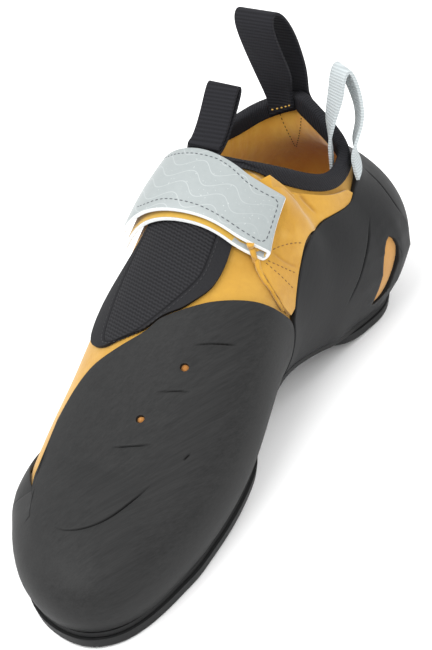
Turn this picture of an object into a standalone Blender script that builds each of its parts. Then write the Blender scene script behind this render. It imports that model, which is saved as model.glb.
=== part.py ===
"""Climbing shoe, right foot, as separate named pieces. Metres, +Z up, toe along -Y."""
import bpy
import bmesh
import math
import numpy as np
from mathutils.bvhtree import BVHTree

# sizes
LENGTH = 0.244          # last, toe to heel
BALL_WIDTH = 0.084
INSTEP_HEIGHT = 0.091
LEATHER = 0.0018
RUBBER = 0.0019
LINING_SHEET = 0.0013
SOLE_THICK = 0.0038
RAND_THICK = 0.0018
INSOLE_THICK = 0.0024
BINDING_SKIRT = 0.0050
STRAP_THICK = 0.0014
WEBBING = 0.0013
HEEL_LOOP_WIDTH = 0.0165
SIDE_LOOP_WIDTH = 0.0100
TAB_WIDTH = 0.0130
GAP = 0.0003
FACET = 0.00015         # room for the flat faces of a curved wall

# shares of the length
TOE_TURN = 0.20
HEEL_TURN = 0.85
COLLAR_FRONT = 0.675
TOE_Y = -0.508 * LENGTH
STACK = SOLE_THICK + RAND_THICK + 2 * GAP
TOE_SPRING = 0.0018
LOW_SHARE = 0.22

# share of the length; widths as percent of the ball width, heights of the instep height
SECTION_COLUMNS = ("share", "axis", "in_foot", "in_wide", "out_foot", "out_wide", "in_top",
                   "out_top", "lift", "up", "in_high", "out_high", "lean", "full")
SECTIONS = np.array([
    (20, 13.1, 33.3, 36.9, 44.4, 47.9, 0.0, 0.0, 0.0, 11.0, 38.5, 38.5, 0, 60),
    (30, 8.3, 36.2, 41.2, 44.0, 50.3, 0.0, 0.0, 1.1, 13.2, 47.3, 47.3, 0, 58),
    (38, 3.6, 38.2, 43.4, 40.5, 48.4, 0.0, 0.0, 4.9, 14.3, 57.1, 57.1, 0, 56),
    (46, -1.2, 37.5, 44.0, 36.9, 45.2, 0.0, 0.0, 11.0, 16.5, 69.2, 69.2, 0, 56),
    (54, -6.0, 36.5, 44.0, 30.5, 38.4, 0.0, 0.0, 15.4, 19.8, 83.5, 83.5, 0, 56),
    (60, -8.3, 37.5, 44.0, 28.6, 37.0, 0.0, 0.0, 14.3, 23.1, 93.4, 93.4, 0, 58),
    (67.5, -7.1, 38.1, 44.0, 28.6, 38.6, 0.0, 0.0, 9.9, 27.5, 100.0, 100.0, 0, 60),
    (68.5, -6.9, 38.1, 44.0, 28.9, 40.2, 12.0, 12.4, 9.0, 28.0, 98.4, 99.8, 25, 57),
    (71, -6.0, 38.1, 44.0, 29.8, 39.3, 20.2, 21.4, 6.6, 29.7, 93.4, 98.9, 60, 50),
    (76, -3.6, 34.5, 44.0, 31.0, 39.3, 28.6, 28.6, 2.7, 31.9, 83.0, 94.0, 75, 50),
    (81, -1.2, 33.0, 43.2, 32.1, 40.5, 28.6, 29.8, 0.5, 29.5, 77.5, 91.2, 80, 50),
    (85, 0.0, 33.0, 43.5, 33.3, 41.7, 26.2, 28.6, 0.0, 28.0, 78.6, 90.1, 80, 50),
])
TOE_COLUMNS = ("turn", "foot", "wide")
TOE_FAN = np.array([
    (-90, 44.4, 47.9), (-74, 41.2, 44.7), (-56, 38.9, 42.6), (-35, 40.8, 44.6),
    (-15, 46.2, 49.8), (0, 51.0, 54.6), (17, 55.4, 58.9), (31, 51.2, 54.8),
    (46, 42.9, 46.4), (61, 36.9, 40.5), (75, 33.9, 37.5), (90, 33.3, 36.9),
])
HEEL_COLUMNS = ("turn", "foot", "wide", "top", "lift", "up", "high", "lean", "full")
INNER_HEEL = np.array([
    (0, 33.0, 43.5, 26.2, 0.0, 28.0, 78.6, 80, 50),
    (30, 33.0, 46.0, 21.4, 0.0, 25.5, 82.4, 82, 50),
    (60, 34.2, 47.2, 15.5, 0.3, 25.5, 91.2, 85, 55),
    (90, 35.0, 47.5, 13.1, 1.1, 26.0, 98.9, 88, 58),
])
OUTER_HEEL = np.array([
    (0, 33.3, 41.7, 28.6, 0.0, 28.0, 90.1, 80, 50),
    (30, 33.3, 42.3, 24.4, 0.0, 29.0, 92.3, 82, 50),
    (60, 34.2, 45.6, 17.9, 0.3, 26.5, 96.0, 85, 56),
    (90, 35.0, 47.5, 13.1, 1.1, 26.0, 98.9, 88, 58),
])


def curve(table, column, at):
    """Smooth value of one column at a place in a table."""
    x = table[:, 0]
    y = table[:, column]
    at = min(max(at, x[0]), x[-1])
    i = min(max(int(np.searchsorted(x, at)) - 1, 0), len(x) - 2)
    low = max(i - 1, 0)
    high = min(i + 2, len(x) - 1)
    step = x[i + 1] - x[i]
    first = (y[i + 1] - y[low]) / (x[i + 1] - x[low])
    last = (y[high] - y[i]) / (x[high] - x[i])
    t = (at - x[i]) / step
    near = (2 * t ** 3 - 3 * t ** 2 + 1) * y[i] + (t ** 3 - 2 * t ** 2 + t) * step * first
    return near + (3 * t ** 2 - 2 * t ** 3) * y[i + 1] + (t ** 3 - t ** 2) * step * last


RIBS = {}


def rib(g):
    """Centre, direction, radii and heights of the half section at g; g is above 0 on the inner side."""
    g = (g + 1) % 2 - 1
    key = round(g, 7)
    if key in RIBS:
        return RIBS[key]
    side = 1 if g > 0 else -1
    share = abs(g)
    wide = BALL_WIDTH / 100
    high = INSTEP_HEIGHT / 100

    def section(name, at):
        return curve(SECTIONS, SECTION_COLUMNS.index(name), at * 100)

    near = "in_" if side > 0 else "out_"
    if share < TOE_TURN:
        turn = 90 * g / TOE_TURN
        angle = math.radians(turn)
        centre = (section("axis", TOE_TURN) * wide, TOE_Y + TOE_TURN * LENGTH)
        way = (math.sin(angle), -math.cos(angle))
        foot = curve(TOE_FAN, 1, turn) * wide
        reach = curve(TOE_FAN, 2, turn) * wide
        ahead = max(0.0, 0.07 - TOE_TURN - foot * way[1] / LENGTH)
        base = STACK + TOE_SPRING * (ahead / 0.07) ** 2
        result = (centre, way, foot, reach, 0.0, base, base + section("up", TOE_TURN) * high,
                  section("in_high", TOE_TURN) * high, 0.0, section("full", TOE_TURN) / 100)
    elif share <= HEEL_TURN:
        centre = (section("axis", share) * wide, TOE_Y + share * LENGTH)
        base = STACK + max(0.0, section("lift", share)) * high
        top = section(near + "top", share) * wide if share > COLLAR_FRONT else 0.0
        lean = math.radians(section("lean", share)) if share > COLLAR_FRONT else 0.0
        tall = near + "high" if share > COLLAR_FRONT else "in_high"
        result = (centre, (side, 0.0), section(near + "foot", share) * wide, section(near + "wide", share) * wide,
                  max(top, 0.0), base, base + section("up", share) * high, section(tall, share) * high,
                  lean, section("full", share) / 100)
    else:
        turn = 90 * (share - HEEL_TURN) / (1 - HEEL_TURN)
        angle = math.radians(turn)
        table = INNER_HEEL if side > 0 else OUTER_HEEL
        foot, reach, top, lift, up, tall, lean, full = [curve(table, k, turn) for k in range(1, 9)]
        base = STACK + max(lift, 0.0) * high
        result = ((0.0, TOE_Y + HEEL_TURN * LENGTH), (side * math.cos(angle), math.sin(angle)), foot * wide,
                  reach * wide, top * wide, base, base + up * high, tall * high, math.radians(lean), full / 100)
    RIBS[key] = result
    return result



def last_point(g, v):
    """Point of the last: g runs round the foot from the toe tip, v from the feather edge to the top."""
    centre, way, foot, reach, top, base, middle, tall, lean, full = rib(g)
    if v < LOW_SHARE:
        a = v / LOW_SHARE
        radius = foot + (reach - foot) * math.sin(a * math.pi / 2)
        height = base + (middle - base) * a
    else:
        a = (v - LOW_SHARE) / (1 - LOW_SHARE)
        w = ((1 - a) ** 3, 3 * a * (1 - a) ** 2, 3 * a * a * (1 - a), a ** 3)
        rise = full * (tall - middle)
        radius = (w[0] + w[1]) * reach + w[2] * (top + full * (reach - top) * math.cos(lean)) + w[3] * top
        height = w[0] * middle + w[1] * (middle + rise) + w[2] * (tall - rise * math.sin(lean)) + w[3] * tall
    return np.array((centre[0] + way[0] * radius, centre[1] + way[1] * radius, height))


def unit(vector):
    return vector / (np.linalg.norm(vector) + 1e-12)


def last_normal(g, v):
    """Outward direction of the last, level at the feather edge."""
    if v > 0.985 and abs(g) < TOE_TURN + 0.006:
        g = math.copysign(TOE_TURN + 0.006, g)
        v = 0.985
    step = 0.002
    along = last_point(g + step, v) - last_point(g - step, v)
    low = max(v - step, 0.0)
    high = min(v + step, 1.0)
    up = last_point(g, high) - last_point(g, low)
    normal = unit(np.cross(along, up))
    centre, way = rib(g)[:2]
    outward = np.array((way[0], way[1], 0.35 + v))
    if np.dot(normal, outward) < 0:
        normal = -normal
    if v < 0.12:
        normal[2] *= v / 0.12
        normal = unit(normal)
    return normal


def place(g, v, off=0.0):
    point = last_point(g, v)
    return point + off * last_normal(g, v) if off else point


# boundaries of the pieces: row or place along the edge, then g and v on the last
TOE_RUBBER_OUTER = np.array([
    (0.00, 0.160, 0.00), (0.20, 0.155, 0.20), (0.40, 0.147, 0.42), (0.50, 0.139, 0.60),
    (0.56, 0.210, 0.600), (0.62, 0.280, 0.600), (0.68, 0.330, 0.635), (0.74, 0.362, 0.700),
    (0.84, 0.386, 0.82), (0.93, 0.412, 0.945), (1.00, 0.434, 1.00),
])
TOE_RUBBER_INNER = np.array([
    (0.00, 0.562, 0.00), (0.25, 0.578, 0.25), (0.33, 0.556, 0.34), (0.50, 0.528, 0.50),
    (0.61, 0.508, 0.61), (0.79, 0.476, 0.79), (0.91, 0.452, 0.91), (1.00, 0.434, 1.00),
])
HEEL_RUBBER_TOP = np.array([
    (0.565, 0.240), (0.584, 0.250), (0.602, 0.31), (0.625, 0.37), (0.650, 0.42), (0.680, 0.47),
    (0.731, 0.635), (0.760, 0.70), (0.783, 0.735), (0.813, 0.77), (0.842, 0.85), (0.930, 0.875),
    (1.000, 0.88), (1.070, 0.875), (1.150, 0.86), (1.190, 0.79), (1.250, 0.72), (1.320, 0.52),
    (1.402, 0.33),
])
OUTER_RAND_TOP = np.array([
    (0.140, 0.585), (0.165, 0.545), (0.190, 0.490), (0.213, 0.440), (0.247, 0.38), (0.300, 0.33), (0.400, 0.29),
    (0.500, 0.28), (0.600, 0.30),
])
TONGUE_LEFT = np.array([
    (0.00, 0.3925, -0.275), (0.08, 0.398, -0.37), (0.18, 0.424, -0.455), (0.30, 0.475, -0.46),
    (0.42, 0.503, -0.39), (0.56, 0.538, -0.30), (0.70, 0.572, -0.22), (0.85, 0.612, -0.20), (1.00, 0.648, -0.19),
])
TONGUE_RIGHT = np.array([
    (0.00, 0.4565, 0.09), (0.14, 0.480, 0.17), (0.28, 0.502, 0.23), (0.45, 0.537, 0.265),
    (0.62, 0.572, 0.265), (0.82, 0.612, 0.25), (1.00, 0.648, 0.20),
])
QUARTER_EDGE = np.array([
    (0.592, 0.5770, 0.2850), (0.602, 0.5650, 0.350), (0.625, 0.5610, 0.470), (0.650, 0.5660, 0.600),
    (0.680, 0.5800, 0.685), (0.705, 0.6200, 0.730), (0.731, 0.6650, 0.765), (0.760, 0.7100, 0.860),
    (0.783, 0.7500, 0.885), (0.813, 0.8000, 0.885), (0.828, 0.8180, 0.880),
])
CUT_OUT = np.array([
    (0.849, 0.350), (0.830, 0.290), (0.821, 0.20), (0.815, 0.12), (0.806, 0.066), (0.828, 0.064),
    (0.845, 0.095), (0.855, 0.16), (0.860, 0.25),
])
THROAT = np.array([
    (0.430, -0.22), (0.450, -0.32), (0.500, -0.27), (0.560, -0.15), (0.620, -0.12), (0.620, 0.14),
    (0.560, 0.17), (0.510, 0.13), (0.470, 0.02),
])
VENTS = ((0.382, 1, 0.82), (0.290, 1, 0.955))
VENT_RADIUS = 0.0017


def mix(a, b, t):
    return a + (b - a) * t


def edge(table, at):
    """Every further column of a table at a place along it, straight between the rows."""
    return [float(np.interp(at, table[:, 0], table[:, k])) for k in range(1, table.shape[1])]


class Sheet:
    """Open surface on the last; points that fall together are one vertex."""

    def __init__(self):
        self.index = {}
        self.spots = []
        self.faces = []

    def vertex(self, g, v):
        point = place(g, v)
        key = tuple(np.floor(point / 0.00002 + 0.37).astype(int))
        if key not in self.index:
            self.index[key] = len(self.spots)
            self.spots.append((point, last_normal(g, v)))
        return self.index[key]

    def rows(self, rows):
        ids = [[self.vertex(g, v) for g, v in row] for row in rows]
        for low, high in zip(ids[:-1], ids[1:]):
            for j in range(len(low) - 1):
                loop = []
                for k in (low[j], low[j + 1], high[j + 1], high[j]):
                    if k not in loop:
                        loop.append(k)
                if len(loop) > 2:
                    self.faces.append(loop)

    def clear(self, tree, inside):
        """How far each vertex has to rise so that no flat face dips into the surface below."""
        lift = [0.0] * len(self.spots)
        for turn in range(12):
            for face in self.faces:
                corners = [self.spots[k][0] + self.spots[k][1] * (inside + lift[k]) for k in face]
                middle = sum(corners) / len(corners)
                tests = list(zip(corners, corners[1:] + corners[:1]))
                need = 0.0
                crossed = [(corners[k] + corners[k - 2]) / 2 for k in range(2)]
                for spot in corners + [middle] + crossed + [(a + b) / 2 for a, b in tests] + [
                        (a + middle) / 2 for a in corners]:
                    hit, facing, number, far = tree.find_nearest(spot)
                    if hit is not None and far < 0.003:
                        need = max(need, inside - float(np.dot(spot - np.array(hit), np.array(facing))))
                if need > 0:
                    for k in face:
                        lift[k] += 0.6 * need
        return lift

    def shell(self, name, inside, outside, material, over=None):
        """Closed body between two distances from the last."""
        count = len(self.spots)
        lift = self.clear(over, inside) if over else [0.0] * count
        points = [p + n * (outside + up) for (p, n), up in zip(self.spots, lift)]
        points += [p + n * (inside + up) for (p, n), up in zip(self.spots, lift)]
        used = {}
        for face in self.faces:
            for a, b in zip(face, face[1:] + face[:1]):
                used[(a, b)] = True
        faces = [list(face) for face in self.faces]
        faces += [[k + count for k in reversed(face)] for face in self.faces]
        for a, b in used:
            if (b, a) not in used:
                faces.append([b, a, a + count, b + count])
        return body(name, points, faces, material)


def body(name, points, faces, material):
    """Mesh object with its own material, facing outward."""
    mesh = bpy.data.meshes.new(name)
    mesh.from_pydata([tuple(map(float, p)) for p in points], [], faces)
    work = bmesh.new()
    work.from_mesh(mesh)
    bmesh.ops.remove_doubles(work, verts=work.verts, dist=0.00001)
    bmesh.ops.recalc_face_normals(work, faces=work.faces)
    if work.calc_volume(signed=True) < 0:
        bmesh.ops.reverse_faces(work, faces=work.faces)
    work.to_mesh(mesh)
    work.free()
    mesh.materials.append(material)
    thing = bpy.data.objects.new(name, mesh)
    shoe.objects.link(thing)
    return thing


def paint(name, colour, rough):
    material = bpy.data.materials.new(name)
    material.use_nodes = True
    shader = material.node_tree.nodes["Principled BSDF"]
    shader.inputs["Base Color"].default_value = (*colour, 1.0)
    shader.inputs["Roughness"].default_value = rough
    material.diffuse_color = (*colour, 1.0)
    return material


def cut(thing, points, faces):
    """Subtract a closed cutter from a piece."""
    mesh = bpy.data.meshes.new("cutter")
    mesh.from_pydata([tuple(map(float, p)) for p in points], [], faces)
    work = bmesh.new()
    work.from_mesh(mesh)
    bmesh.ops.recalc_face_normals(work, faces=work.faces)
    if work.calc_volume(signed=True) < 0:
        bmesh.ops.reverse_faces(work, faces=work.faces)
    work.to_mesh(mesh)
    work.free()
    tool = bpy.data.objects.new("cutter", mesh)
    tool.display_type = "WIRE"
    tool.hide_render = True
    cutters.objects.link(tool)
    step = thing.modifiers.new("opening", "BOOLEAN")
    step.operation = "DIFFERENCE"
    step.solver = "EXACT"
    step.object = tool


def plug(outline, inside, outside, across):
    """Closed cutter over an outline given on the last."""
    count = len(outline)
    centre = outline.mean(axis=0)
    spots = [tuple(p) for p in outline] + [tuple(centre)]
    level = []
    for off in (outside, inside):
        for g, w in spots:
            v = 1 - abs(w) if across else w
            level.append(place(math.copysign(g, w) if across else g, v, off))
    faces = []
    for k in range(count):
        n = (k + 1) % count
        faces.append([k, n, count])
        faces.append([n + count + 1, k + count + 1, 2 * count + 1])
        faces.append([n, k, k + count + 1, n + count + 1])
    return level, faces


def rounded(outline, parts):
    """Closed outline with smooth sides through its points."""
    count = len(outline)
    result = []
    for k in range(count):
        a, b, c, d = [outline[(k + i) % count] for i in (-1, 0, 1, 2)]
        for j in range(parts):
            t = j / parts
            result.append(0.5 * (2 * b + (c - a) * t + (2 * a - 5 * b + 4 * c - d) * t * t
                                 + (3 * b - a - 3 * c + d) * t ** 3))
    return np.array(result)


def steps(low, high, count):
    return [low + (high - low) * k / count for k in range(count + 1)]


for old in list(bpy.data.objects):
    bpy.data.objects.remove(old, do_unlink=True)
shoe = bpy.data.collections.new("climbing_shoe")
cutters = bpy.data.collections.new("cutters")
bpy.context.scene.collection.children.link(shoe)
bpy.context.scene.collection.children.link(cutters)

LEATHER_PAINT = paint("leather", (0.80, 0.46, 0.07), 0.75)

# the leather upper
walls = Sheet()
rim_places = [COLLAR_FRONT, 0.679, 0.685, 0.695, 0.71, 0.73, 0.755, 0.785, 0.815] + steps(HEEL_TURN, 1.0, 7)
along = steps(0.0, TOE_TURN, 8)[:-1] + steps(TOE_TURN, COLLAR_FRONT, 12)[:-1] + rim_places
heights = [0.0, 0.10, 0.22, 0.34, 0.46, 0.57, 0.67, 0.76, 0.84, 0.92, 1.0]
for side in (1, -1):
    walls.rows([[(side * g, v) for g in along][::side] for v in heights])
upper = walls.shell("upper", -LEATHER, -FACET, LEATHER_PAINT)


def skin_tree(thing):
    """Search tree of a piece, each four-sided face taken both ways across."""
    points = [tuple(v.co) for v in thing.data.vertices]
    triangles = []
    for face in thing.data.polygons:
        k = list(face.vertices)
        if len(k) == 4:
            triangles += [(k[0], k[1], k[2]), (k[0], k[2], k[3]), (k[0], k[1], k[3]), (k[1], k[2], k[3])]
        else:
            triangles += [(k[0], k[i], k[i + 1]) for i in range(1, len(k) - 1)]
    return BVHTree.FromPolygons(points, triangles)


def push_clear(points, faces, tree, want):
    """Move the corners of faces that come too near to another piece."""
    points = [np.array(p, dtype=float) for p in points]
    for turn in range(10):
        worst = 0.0
        for face in faces:
            corners = [points[k] for k in face]
            tests = corners + [sum(corners) / len(corners), (corners[0] + corners[2]) / 2]
            tests += [(corners[1] + corners[-1]) / 2]
            tests += [(corners[k] + corners[k - 1]) / 2 for k in range(len(corners))]
            need, way = 0.0, None
            for spot in tests:
                hit, facing, number, far = tree.find_nearest(spot, 0.002)
                if hit is None:
                    continue
                away = spot - np.array(hit)
                inside = np.dot(away, np.array(facing)) < -0.95 * far
                short = want + far if inside else want - far
                if short > need:
                    need, way = short, np.array(facing) if inside else unit(away)
            if way is not None and need > 0.00002:
                worst = max(worst, need)
                for k in face:
                    points[k] = points[k] + way * need * 0.5
        if worst < 0.00003:
            break
    return points


wall_tree = skin_tree(upper)
cut(upper, *plug(rounded(THROAT, 2), -3 * LEATHER, LEATHER, True))


def sweep_ends(table_out, table_in, rows, parts, power):
    """Rows round the toe from one rear edge to the other."""
    result = []
    for b in rows:
        row = []
        for sign, table in ((-1, table_out), (1, table_in)):
            g_end, v_end = edge(table, b)
            half = []
            for j in range(parts + 1):
                t = (j / parts) ** 1.2
                half.append((sign * g_end * t, mix(b, v_end, t ** power)))
            row += half[::-1] if sign < 0 else half[1:]
        result.append(row)
    return result


# rubber over the toes, with two vents
cap = Sheet()
cap_rows = (0.0, 0.08, 0.16, 0.25, 0.33, 0.41, 0.50, 0.56, 0.62, 0.68, 0.74, 0.79, 0.84, 0.885, 0.93, 0.97, 1.0)
cap.rows(sweep_ends(TOE_RUBBER_OUTER, TOE_RUBBER_INNER, cap_rows, 16, 1.3))
TOE_PAINT = paint("toe_rubber", (0.030, 0.030, 0.031), 0.5)
toe_rubber = cap.shell("toe_rubber", GAP, GAP + RUBBER, TOE_PAINT, over=wall_tree)
for share, side, v in VENTS:
    middle = place(side * share, v)
    normal = last_normal(side * share, v)
    first = unit(np.cross(normal, (0.0, 0.0, 1.0)))
    second = np.cross(normal, first)
    ring = []
    for off in (RUBBER * 3, -RUBBER * 0.2 + GAP):
        for k in range(12):
            turn = 2 * math.pi * k / 12
            spoke = first * math.cos(turn) + second * math.sin(turn)
            ring.append(middle + normal * off + VENT_RADIUS * spoke)
    sides = [[k, (k + 1) % 12, (k + 1) % 12 + 12, k + 12] for k in range(12)]
    cut(toe_rubber, ring, sides + [list(range(12))[::-1], list(range(12, 24))])

# rubber round the heel, with the cut-out on the inner side
SEAM = 0.0018
CUP_PLACES = (0.592, 0.602, 0.625, 0.650, 0.680, 0.705, 0.731, 0.760, 0.783, 0.813, 0.828, 0.842, 0.866, 0.890,
              0.914, 0.938, 0.962, 0.986, 1.01, 1.035, 1.06, 1.085, 1.11, 1.135, 1.16, 1.19, 1.22, 1.25, 1.285,
              1.32, 1.36, 1.402)
cup = Sheet()
cup_rows = []
for b in steps(0.0, 1.0, 9):
    row = []
    start = float(np.interp(b * 0.24, (0.0, 0.25), (0.562, 0.578))) + SEAM
    for g in (start,) + CUP_PLACES:
        row.append((g, b * edge(HEEL_RUBBER_TOP, g)[0]))
    cup_rows.append(row)
cup.rows(cup_rows)
HEEL_PAINT = paint("heel_rubber", (0.030, 0.030, 0.031), 0.5)
heel_rubber = cup.shell("heel_rubber", GAP, GAP + RUBBER, HEEL_PAINT, over=wall_tree)
cut(heel_rubber, *plug(rounded(CUT_OUT, 2), GAP / 2, RUBBER * 3, False))

# rand on the outer side
band = Sheet()
band_rows = []
for b in steps(0.0, 1.0, 4):
    row = []
    for a in steps(0.0, 1.0, 16):
        low = float(np.interp(b * 0.585, (0.0, 0.20, 0.42, 0.60), (0.160, 0.155, 0.147, 0.139))) + 2 * SEAM
        g = mix(low, 2 - 1.402 - SEAM, a)
        row.append((-g, b * edge(OUTER_RAND_TOP, g)[0]))
    band_rows.append(row)
band.rows(band_rows)
band.shell("lateral_rand", GAP, GAP + RUBBER, paint("lateral_rand", (0.030, 0.030, 0.031), 0.5), over=wall_tree)

# tongue panel over the throat
panel = Sheet()
panel_rows = []
FRONT = np.array([(0.0, 0.3925, -0.275), (0.45, 0.4165, -0.07), (0.62, 0.4395, 0.0), (1.0, 0.4565, 0.09)])
for b in steps(0.0, 1.0, 12):
    row = []
    left = edge(TONGUE_LEFT, b)
    right = edge(TONGUE_RIGHT, b)
    base_left = edge(TONGUE_LEFT, 0.0)
    base_right = edge(TONGUE_RIGHT, 0.0)
    for a in steps(0.0, 1.0, 9):
        g, q = edge(FRONT, a)
        bow = (1 - b) ** 2
        g = mix(left[0], right[0], a) + bow * (g - mix(base_left[0], base_right[0], a))
        q = mix(left[1], right[1], a) + bow * (q - mix(base_left[1], base_right[1], a))
        row.append((math.copysign(g, q), 1 - abs(q)))
    panel_rows.append(row)
panel.rows(panel_rows)
MESH_PAINT = paint("tongue_panel", (0.045, 0.045, 0.05), 0.9)
tongue = panel.shell("tongue_panel", GAP, GAP + LINING_SHEET, MESH_PAINT, over=wall_tree)

# raised leather quarter on the inner side
QUARTER_PLACES = (0.592, 0.602, 0.6135, 0.625, 0.6375, 0.650, 0.665, 0.680, 0.6925, 0.705, 0.718, 0.731, 0.7455, 0.760,
                  0.783, 0.798, 0.813, 0.828)
quarter = Sheet()
quarter_rows = []
for b in steps(0.0, 1.0, 7):
    row = []
    for place_low in QUARTER_PLACES:
        g_low = place_low
        g_high, v_high = edge(QUARTER_EDGE, g_low)
        v_low = edge(HEEL_RUBBER_TOP, g_low)[0] + 0.008
        row.append((mix(g_low, g_high, b), mix(v_low, v_high, b)))
    quarter_rows.append(row)
quarter.rows(quarter_rows)
SIDE_PAINT = paint("medial_quarter", (0.80, 0.46, 0.07), 0.75)
side_leather = quarter.shell("medial_quarter", GAP, GAP + 0.0015, SIDE_PAINT, over=wall_tree)


# the collar edge and what hangs on it
def collar_frame(g):
    """Point, outward, edgewise and up directions on the rim of the collar."""
    point = place(g, 1.0)
    step = 0.004
    ahead, behind = g + step, g - step
    if abs(g) < COLLAR_FRONT + step:
        ahead, behind = COLLAR_FRONT + step, -COLLAR_FRONT - step
        edgewise = unit(place(ahead, 1.0) - place(behind, 1.0))
    else:
        edgewise = unit(place(ahead, 1.0) - place(behind, 1.0))
    shift = math.copysign(max(abs(g), COLLAR_FRONT), g)
    normal = last_normal(shift, 1.0)
    normal = unit(normal - edgewise * np.dot(normal, edgewise))
    up = np.cross(edgewise, normal)
    inward = place(shift, 0.93) - point
    if abs(g) < COLLAR_FRONT + step:
        inward = place(COLLAR_FRONT - 0.03, 1.0) - point
    if np.dot(up, inward) > 0:
        up = -up
    return point, normal, edgewise, up


def settle(target, g, q):
    """Place on the last nearest to a point; q is above 0 on the inner side and 0 on the ridge."""
    spot = np.array((g, q))

    def there(spot):
        return place(math.copysign(spot[0], spot[1]), 1 - abs(spot[1]))

    for turn in range(12):
        miss = target - there(spot)
        step = 0.0005
        slope = np.stack([(there(spot + d) - there(spot - d)) / (2 * step)
                          for d in (np.array((step, 0.0)), np.array((0.0, step)))], axis=1)
        move = np.linalg.lstsq(slope, miss, rcond=1e-3)[0]
        spot = spot + np.clip(move, -0.02, 0.02)
        if abs(spot[1]) < 0.001:
            spot[1] = math.copysign(0.001, spot[1])
    return spot


def on_sheet(spot, off):
    return place(math.copysign(spot[0], spot[1]), 1 - abs(spot[1]), off)


thick = 0.0011
inner_face = -LEATHER - GAP
rim_ring = rim_places + [-g for g in rim_places[1:-1][::-1]]
points = []
for g in rim_ring:
    point, normal, edgewise, up = collar_frame(g)
    side = 1 if g > 0 else -1
    front = abs(g) < COLLAR_FRONT + 0.012
    start = (COLLAR_FRONT - 0.02, side * 0.02) if front else (abs(g), side * 0.08)
    lower = settle(point - up * BINDING_SKIRT, *start)
    half = settle(point - up * BINDING_SKIRT / 2, *start)
    room = 0.0003
    out_face = GAP + room
    in_face = inner_face - room
    for spot, off in ((lower, out_face), (half, out_face), (None, out_face), (None, in_face), (half, in_face),
                      (lower, in_face), (lower, in_face - thick), (half, in_face - thick),
                      (0.4, in_face - thick), (1.0, in_face + 0.0003), (1.0, out_face - 0.0003),
                      (0.4, out_face + thick), (half, out_face + thick), (lower, out_face + thick)):
        if isinstance(spot, float):
            points.append(point + normal * off + up * (GAP + spot * thick))
        elif spot is None:
            points.append(point + normal * off + up * GAP)
        else:
            points.append(on_sheet(spot, off))
ring = 14
total = len(points)
faces = []
for k in range(0, total, ring):
    for j in range(ring):
        n = (j + 1) % ring
        faces.append([k + j, k + n, (k + ring + n) % total, (k + ring + j) % total])
points = push_clear(points, faces, wall_tree, 2 * GAP)
binding = body("collar_binding", points, faces, paint("collar_binding", (0.040, 0.040, 0.045), 0.9))


def ribbon(path, thickness):
    """Flat outline of a strip that follows a path in its own plane."""
    path = np.array(path)
    way = np.gradient(path, axis=0)
    way = way / np.linalg.norm(way, axis=1)[:, None]
    side = np.stack((-way[:, 1], way[:, 0]), axis=1) * thickness / 2
    return path + side, path - side


def smooth_path(path, parts):
    """Smooth curve through the points of a table."""
    path = np.array(path, dtype=float)
    result = []
    for k in range(len(path) - 1):
        a = path[max(k - 1, 0)]
        b, c = path[k], path[k + 1]
        d = path[min(k + 2, len(path) - 1)]
        for j in range(parts):
            t = j / parts
            result.append(0.5 * (2 * b + (c - a) * t + (2 * a - 5 * b + 4 * c - d) * t * t
                                 + (3 * b - a - 3 * c + d) * t ** 3))
    result.append(path[-1])
    return np.array(result)


def strip(name, path, thickness, spots, put, material, apart=()):
    """Closed strip: a path in a plane, carried across its width by put(width place, along, height)."""
    one, two = ribbon(path, thickness)
    count = len(one)
    points = []
    for w in spots:
        for x, h in one:
            points.append(put(w, x, h))
        for x, h in two:
            points.append(put(w, x, h))
    faces = []
    block = 2 * count
    for k in range(len(spots) - 1):
        a, b = k * block, (k + 1) * block
        for j in range(count - 1):
            faces.append([a + j, a + j + 1, b + j + 1, b + j])
            faces.append([a + count + j, b + count + j, b + count + j + 1, a + count + j + 1])
        faces.append([a, b, b + count, a + count])
        faces.append([a + count - 1, a + block - 1, b + block - 1, b + count - 1])
    for a in (0, (len(spots) - 1) * block):
        for j in range(count - 1):
            faces.append([a + j, a + j + 1, a + count + j + 1, a + count + j])
    for tree in apart:
        points = push_clear(points, faces, tree, 1.2 * GAP)
    return body(name, points, faces, material)


def past_front(g):
    """Carry a place on the rim over the front of the collar to the other side."""
    return g if abs(g) >= COLLAR_FRONT else -math.copysign(2 * COLLAR_FRONT - abs(g), g)


def upright(point, normal, edgewise, up):
    """The same frame turned so that the loop stands straight up from a sloping rim."""
    outward = unit(np.array((normal[0], normal[1], 0.0)))
    upward = np.array((0.0, 0.0, 1.0))
    return point, outward, np.cross(outward, upward) * -1, upward


def hanging_loop(name, g, table, width, turn, lean, material, hug=True, aside=(0.0, 0.0, 0.0)):
    """Webbing loop over the rim; the table gives outward and upward places in millimetres."""
    point, normal, edgewise, up = upright(*collar_frame(g)) if hug else collar_frame(g)
    point = point + np.array(aside)
    path = smooth_path(table, 2) * 0.001
    speed = np.linalg.norm(place(past_front(g + 0.01), 1.0) - place(past_front(g - 0.01), 1.0)) / 0.02

    def put(w, out, rise):
        high = max(rise - 0.003, 0.0)
        angle = math.radians(turn) * min(high / 0.02, 1.0)
        across = edgewise * math.cos(angle) + normal * math.sin(angle)
        away = normal * math.cos(angle) - edgewise * math.sin(angle)
        flat = point + up * rise + across * w + away * (out + 0.001) - normal * 0.001 + np.array(lean) * high
        here, outward, along, lift = upright(*collar_frame(past_front(g + w / speed)))
        hugging = here + outward * out + lift * rise + np.array(lean) * high
        k = min(max((rise - 0.003) / 0.010, 0.0), 1.0)
        return mix(hugging, flat, k * k * (3 - 2 * k)) if hug else flat

    return strip(name, path, WEBBING, [width * (k / 3 - 0.5) for k in range(4)], put, material,
                 (skin_tree(binding),) if hug else ())


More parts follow.
